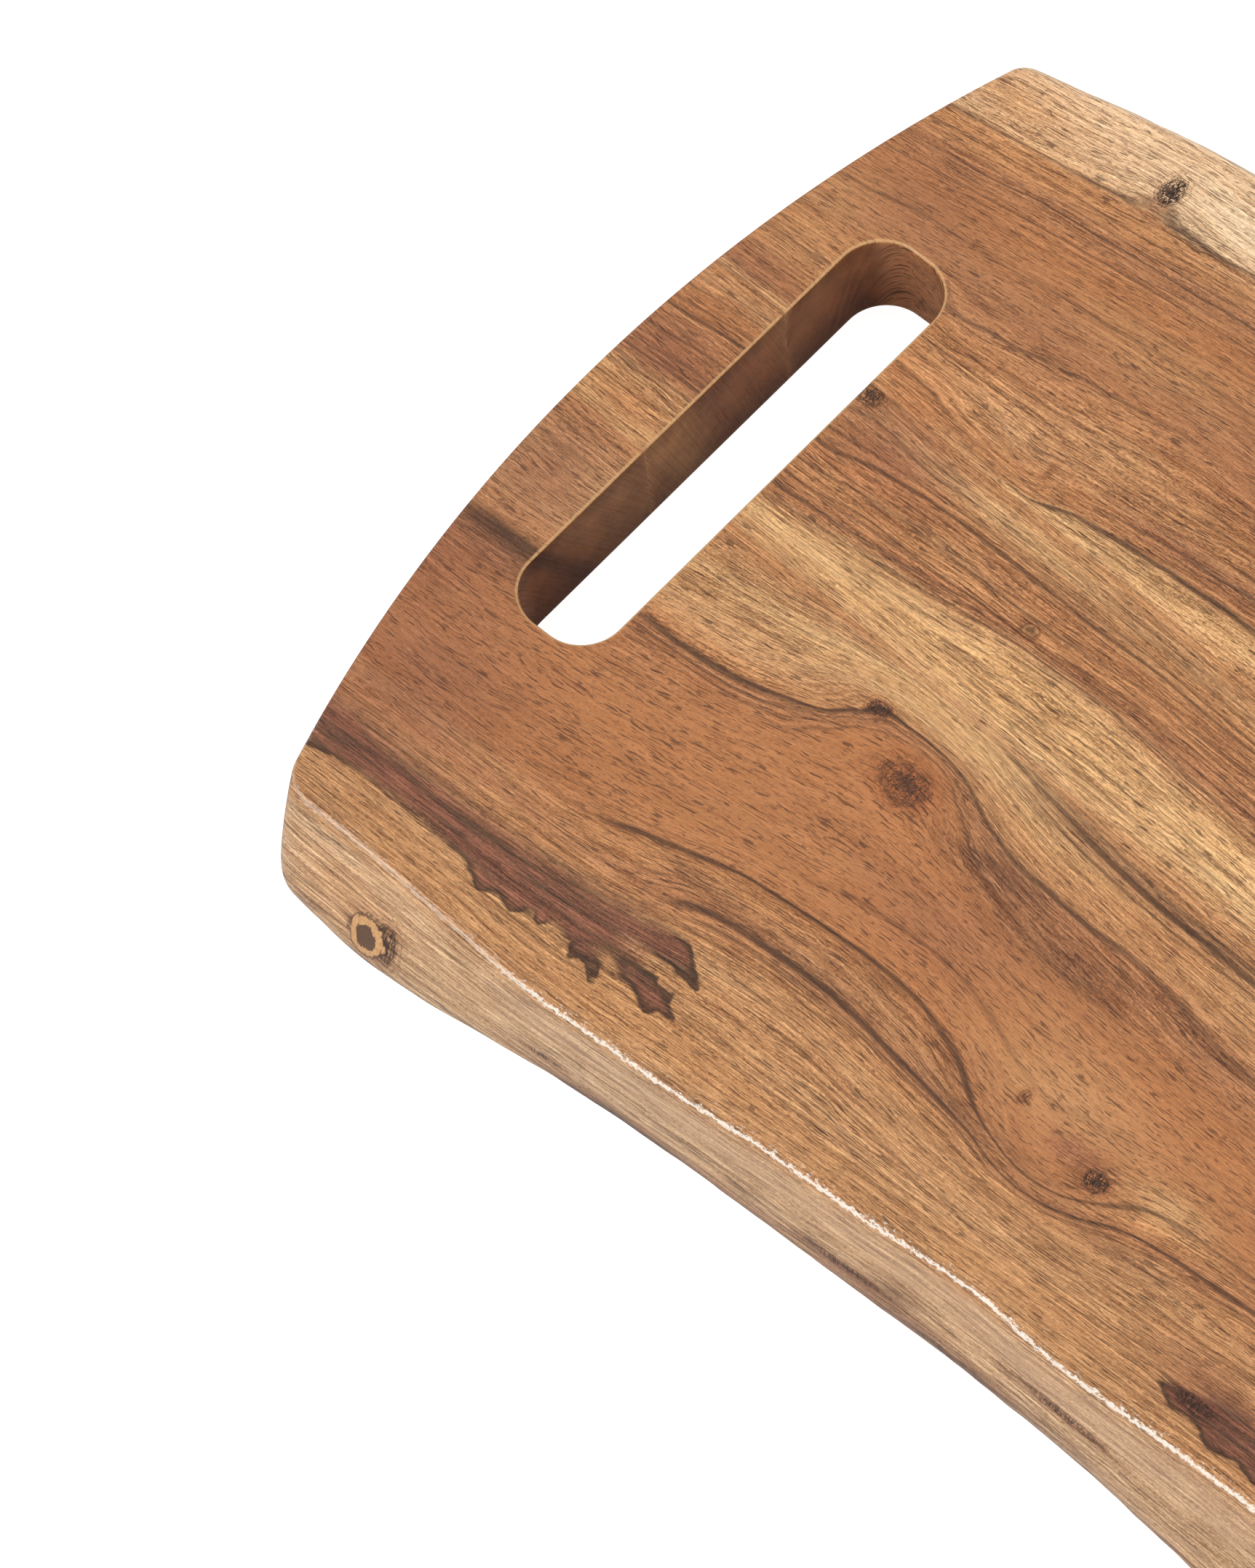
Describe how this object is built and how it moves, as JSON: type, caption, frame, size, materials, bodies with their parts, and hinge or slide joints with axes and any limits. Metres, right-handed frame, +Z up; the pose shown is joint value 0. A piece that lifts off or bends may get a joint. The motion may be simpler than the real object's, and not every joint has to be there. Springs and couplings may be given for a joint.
{
  "type": "serving tray",
  "caption": "Live-edge wooden serving tray, edge-glued from staves, with bowed ends, long slot handles and screwed rubber feet.",
  "frame": {"origin": "on the supporting surface, under the centre of the tray's outline", "axes": "+X along the grain and the length, from the left handle to the right one; +Y across the tray to the live edge with pale sapwood; +Z up, out of the serving face"},
  "size_m": [0.508, 0.2871, 0.037],
  "materials": {
    "near_stave_wood": "satin lacquered acacia heartwood with a strip of golden sapwood along the live edge",
    "middle_stave_wood": "satin lacquered acacia, striped brown and pale tan",
    "far_stave_wood": "satin lacquered acacia heartwood with a strip of pale sapwood along the live edge",
    "foot_rubber": "matte black moulded rubber",
    "fastener_steel": "bright zinc-plated steel"
  },
  "bodies": {
    "root": {"near_stave": "near_stave_wood", "middle_stave": "middle_stave_wood", "far_stave": "far_stave_wood", "left_bar_block": "middle_stave_wood", "right_bar_block": "middle_stave_wood", "near_left_foot": "foot_rubber", "far_left_foot": "foot_rubber", "near_right_foot": "foot_rubber", "far_right_foot": "foot_rubber", "foot_washers": "fastener_steel", "foot_screws": "fastener_steel"}
  },
  "joints": []
}
